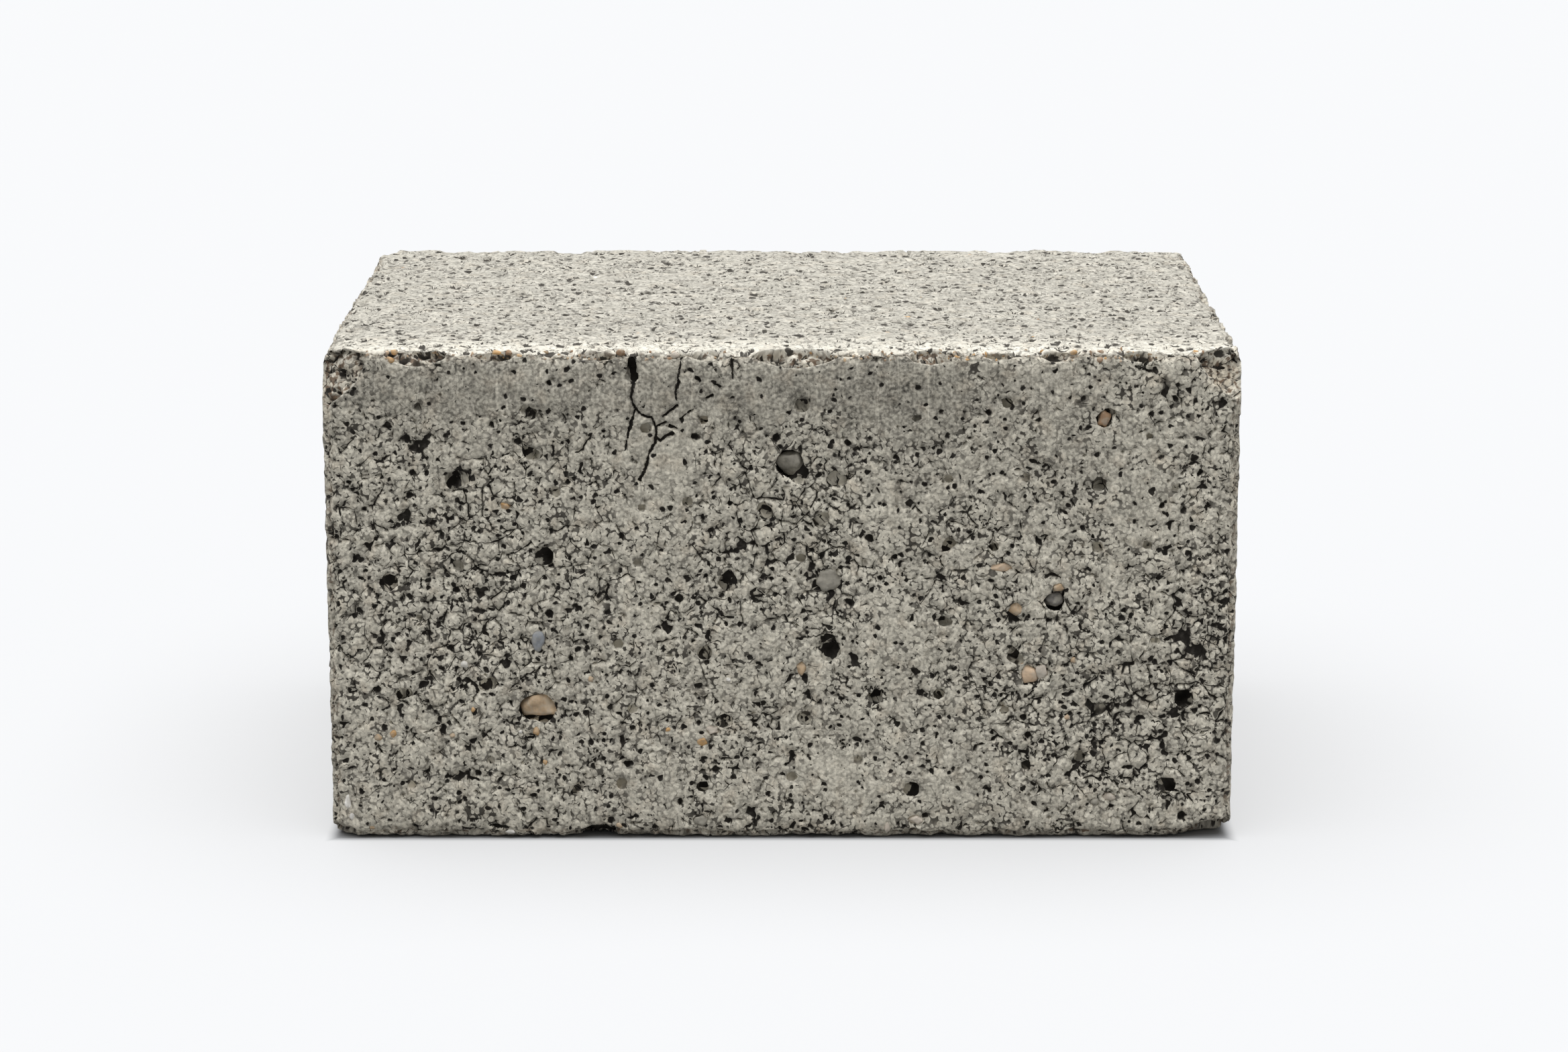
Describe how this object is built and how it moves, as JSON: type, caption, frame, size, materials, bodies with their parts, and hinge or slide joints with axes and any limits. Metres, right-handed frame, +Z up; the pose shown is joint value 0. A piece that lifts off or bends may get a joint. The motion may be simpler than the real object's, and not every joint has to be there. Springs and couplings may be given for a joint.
{
  "type": "solid concrete block",
  "caption": "Solid oblong concrete building block with open-textured faces, worn arrises and knocked corners, laid in mortar or stacked on its flat beds.",
  "frame": {"origin": "middle of the bottom bed", "axes": "+X along the length, +Y through the depth away from the shown face, +Z up from bed to bed"},
  "size_m": [0.39, 0.27, 0.215],
  "materials": {
    "concrete": "matt, rough, open-textured grey concrete with sand, small stones and dark open pores"
  },
  "bodies": {
    "root": {"concrete_block": "concrete"}
  },
  "joints": []
}
